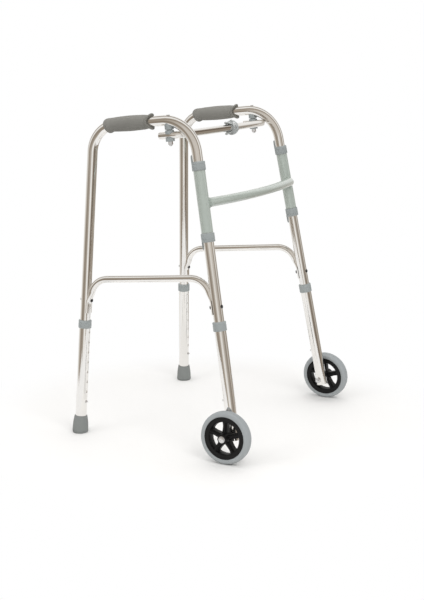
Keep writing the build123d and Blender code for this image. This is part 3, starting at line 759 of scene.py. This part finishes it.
def lock_hoop():
    """A hoop round the clip that lifts the pin."""
    hoop = Mesh(lock_place)
    r0, r1 = 15.2, 18.0
    x0, x1 = PIN_X - 2.8, PIN_X + 2.8
    prof = [(r0 + 0.4, x0), (r1 - 0.9, x0), (r1 - 0.3, x0 + 0.3), (r1, x0 + 1.0),
            (r1, x1 - 1.0), (r1 - 0.3, x1 - 0.3), (r1 - 0.9, x1), (r0 + 0.4, x1),
            (r0, x1 - 0.5), (r0, x0 + 0.5)]
    hoop.lathe(prof, 96, axis="x", loop=True)
    stalk = [(-3.9, 11.55), (3.9, 11.55), (2.9, 15.9), (-2.9, 15.9)]
    hoop.prism(stalk, PIN_X - 2.7, PIN_X + 2.7)
    # The hoop is drawn in the grey plastic painted lighter: painted light.
    hoop.make("lock_hoop", "lock_ring", "grey_plastic", ["centre_lock_ring"], bevel=0.4,
              material="lock_plastic_painted_light")


def lock_plunger():
    """The pin that stands through both bar halves, with a small domed head."""
    pin = Mesh(lambda p: lock_place((p[0] + PIN_X, p[1], p[2])))
    pin.lathe([(1.6, 4.6), (1.6, 17.6), (2.3, 17.6), (2.6, 18.2), (2.2, 18.8), (0.3, 19.0)], 32)
    pin.make("lock_plunger", "lock_ring", "spring_steel", ["centre_lock_pin"], material="dark_rivet")


side_frames()
side_rails()
hand_grips()
leg_collars()
foot_tips()
rivets()
tyres()
hubs()
axle_parts()
stop_collars()
cross_tube()
sleeves()
lock_clip()
lock_hoop()
lock_plunger()


# ================= studio =================
VIEW_YAW = math.radians(62.07)
VIEW_PITCH = math.radians(12.44)
CAMERA_PLACE = (-2.6496, -1.4025, 0.9725)
CAMERA_LENS = 101.65
LIGHT_AIM = Vector((0, 0, 0.4))
FLOOR_LEFT, FLOOR_RIGHT = -1.05, 0.9  # the stretch of floor that the tubes mirror, across the view
FLOOR_NEAR, FLOOR_BACK = -1.1, 0.67
FLOOR_FAR = 9.0
FADE_START, FADE_END = 0.42, 0.66  # distances from the origin where the floor fades into the room's white
WHITE, PALE, WARM = (0.95, 0.94, 0.92), (0.66, 0.62, 0.57), (0.44, 0.39, 0.33)
BROWN, DARK = (0.27, 0.225, 0.18), (0.15, 0.115, 0.085)
ABOVE, BELOW = (0.82, 0.83, 0.84), (0.25, 0.25, 0.25)


def floor_material():
    """A faintly mottled pale floor round the object that fades into the white of the room."""
    n = Nodes("pale floor")
    n.base(n.mix(n.noise(3, 2), (0.87, 0.855, 0.835, 1), (0.858, 0.843, 0.823, 1)))
    n.roughness(n.spread(n.noise(8, 3), 0.55, 0.7))
    n.set(Specular_IOR_Level=0.2)
    reach = n.add("ShaderNodeVectorMath", operation="LENGTH")
    n.link(n.where, reach.inputs[0])
    fade = n.spread(reach.outputs["Value"], 0.0, 1.0, FADE_START, FADE_END)
    fade.node.interpolation_type = "SMOOTHSTEP"
    white = n.add("ShaderNodeEmission")
    blend = n.add("ShaderNodeMixShader")
    n.link(fade, blend.inputs["Fac"])
    n.link(n.shader.outputs["BSDF"], blend.inputs[1])
    n.link(white.outputs["Emission"], blend.inputs[2])
    n.link(blend.outputs["Shader"], n.tree.nodes["Material Output"].inputs["Surface"])
    return n.material


def floor_sheet(name, x0, x1, d0, d1, material, near):
    """A flat sheet, square to the camera's heading. Only a near one is mirrored or lights anything."""
    mesh = bpy.data.meshes.new(name)
    mesh.from_pydata([(x0, d0, 0), (x1, d0, 0), (x1, d1, 0), (x0, d1, 0)], [], [(0, 1, 2, 3)])
    mesh.shade_smooth()
    obj = bpy.data.objects.new(name, mesh)
    obj.matrix_world = Matrix.Rotation(-VIEW_YAW, 4, "Z")
    obj.data.materials.append(material)
    obj.visible_glossy = near
    obj.visible_diffuse = near
    bpy.context.collection.objects.link(obj)


def pale_floor():
    """A pale floor. Only the stretch round the object shows in the tubes and lights them."""
    pale = floor_material()
    sheets = {
        "floor_middle": (FLOOR_LEFT, FLOOR_RIGHT, FLOOR_NEAR, FLOOR_BACK),
        "floor_front": (-FLOOR_FAR, FLOOR_FAR, -FLOOR_FAR, FLOOR_NEAR),
        "floor_left": (-FLOOR_FAR, FLOOR_LEFT, FLOOR_NEAR, FLOOR_BACK),
        "floor_right": (FLOOR_RIGHT, FLOOR_FAR, FLOOR_NEAR, FLOOR_BACK),
        "floor_back": (-FLOOR_FAR, FLOOR_FAR, FLOOR_BACK, FLOOR_FAR),
    }
    for name, span in sheets.items():
        floor_sheet(name, *span, pale, name == "floor_middle")


def light(name, place, size, power):
    """A rectangular lamp aimed at the middle of the object, that isn't mirrored in it."""
    data = bpy.data.lights.new(name, "AREA")
    data.shape = "RECTANGLE"
    data.size, data.size_y = size
    data.energy = power
    lamp = bpy.data.objects.new(name, data)
    lamp.visible_glossy = False
    lamp.location = place
    lamp.rotation_euler = (LIGHT_AIM - Vector(place)).to_track_quat("-Z", "Y").to_euler()
    bpy.context.collection.objects.link(lamp)


def camera():
    data = bpy.data.cameras.new("camera")
    data.sensor_fit = "HORIZONTAL"
    data.sensor_width = 36
    data.lens = CAMERA_LENS
    cam = bpy.data.objects.new("camera", data)
    cam.location = CAMERA_PLACE
    cam.rotation_euler = (math.pi / 2 - VIEW_PITCH, 0, -VIEW_YAW)
    bpy.context.collection.objects.link(cam)
    bpy.context.scene.camera = cam


def room():
    """Plain white to the eye. As light it is white above and dim below; in the tubes it is a warm room."""
    world = bpy.data.worlds.new("studio")
    world.use_nodes = True
    tree = world.node_tree
    back = tree.nodes["Background"]
    where = tree.nodes.new("ShaderNodeTexCoord").outputs["Generated"]
    rays = tree.nodes.new("ShaderNodeLightPath").outputs

    def dot(direction):
        node = tree.nodes.new("ShaderNodeVectorMath")
        node.operation = "DOT_PRODUCT"
        tree.links.new(where, node.inputs[0])
        node.inputs[1].default_value = direction
        return node.outputs["Value"]

    def calculate(kind, *values):
        node = tree.nodes.new("ShaderNodeMath")
        node.operation = kind
        for value, socket in zip(values, node.inputs):
            if isinstance(value, float):
                socket.default_value = value
            else:
                tree.links.new(value, socket)
        return node.outputs["Value"]

    def ramp(value, stops):
        node = tree.nodes.new("ShaderNodeValToRGB")
        band = node.color_ramp
        for element, (position, rgb) in zip(band.elements, (stops[0], stops[-1])):
            element.position, element.color = position, rgb + (1,)
        for position, rgb in stops[1:-1]:
            band.elements.new(position).color = rgb + (1,)
        tree.links.new(value, node.inputs["Fac"])
        return node.outputs["Color"]

    def mix(factor, a, b):
        node = tree.nodes.new("ShaderNodeMix")
        node.data_type = "RGBA"
        for value, key in ((factor, "Factor"), (a, "A"), (b, "B")):
            socket = node.inputs[key]
            if isinstance(value, tuple):
                socket.default_value = value + (1,)
            else:
                tree.links.new(value, socket)
        return node.outputs["Result"]

    behind = dot((-math.sin(VIEW_YAW), -math.cos(VIEW_YAW), 0))
    beside = dot((math.cos(VIEW_YAW), -math.sin(VIEW_YAW), 0))
    up = dot((0, 0, 1))
    turn = calculate("MULTIPLY_ADD", calculate("ARCTAN2", beside, behind), 0.5 / math.pi, 0.5)
    around = ramp(turn, [(0.0, WHITE), (0.15, WHITE), (0.22, PALE), (0.27, WARM), (0.33, BROWN),
                         (0.44, WARM), (0.475, WHITE), (0.54, WHITE), (0.57, WARM), (0.62, DARK),
                         (0.69, BROWN), (0.78, WARM), (0.86, BROWN), (0.92, PALE), (0.96, WHITE),
                         (1.0, WHITE)])
    forward = calculate("MULTIPLY_ADD", behind, 0.5, 0.5)
    ceiling = ramp(forward, [(0.0, WHITE), (0.15, WHITE), (0.19, PALE), (0.23, DARK), (0.28, DARK),
                             (0.34, PALE), (0.4, WHITE), (0.56, WHITE), (0.64, WARM), (0.7, BROWN),
                             (0.76, WARM), (0.84, PALE), (1.0, PALE)])
    high = ramp(calculate("ADD", up, 0.2), [(0.0, (0, 0, 0)), (0.12, (0, 0, 0)), (0.4, (1, 1, 1)),
                                            (1.0, (1, 1, 1))])
    mirrored = mix(high, around, ceiling)
    height = calculate("MULTIPLY_ADD", up, 0.5, 0.5)
    lit = ramp(height, [(0.0, BELOW), (0.4, BELOW), (0.55, ABOVE), (1.0, ABOVE)])
    seen = mix(rays["Is Camera Ray"], lit, (1.0, 1.0, 1.0))
    tree.links.new(mix(rays["Is Glossy Ray"], seen, mirrored), back.inputs["Color"])
    bpy.context.scene.world = world


def studio():
    room()
    bpy.context.scene.view_settings.view_transform = "Standard"
    pale_floor()
    light("key", (-1.6, -2.2, 2.6), size=(1.6, 1.6), power=34)
    light("fill", (-2.6, 1.6, 1.8), size=(1.4, 2.0), power=14)
    light("top", (0.2, 0.2, 3.2), size=(2.6, 2.6), power=24)
    camera()


studio()
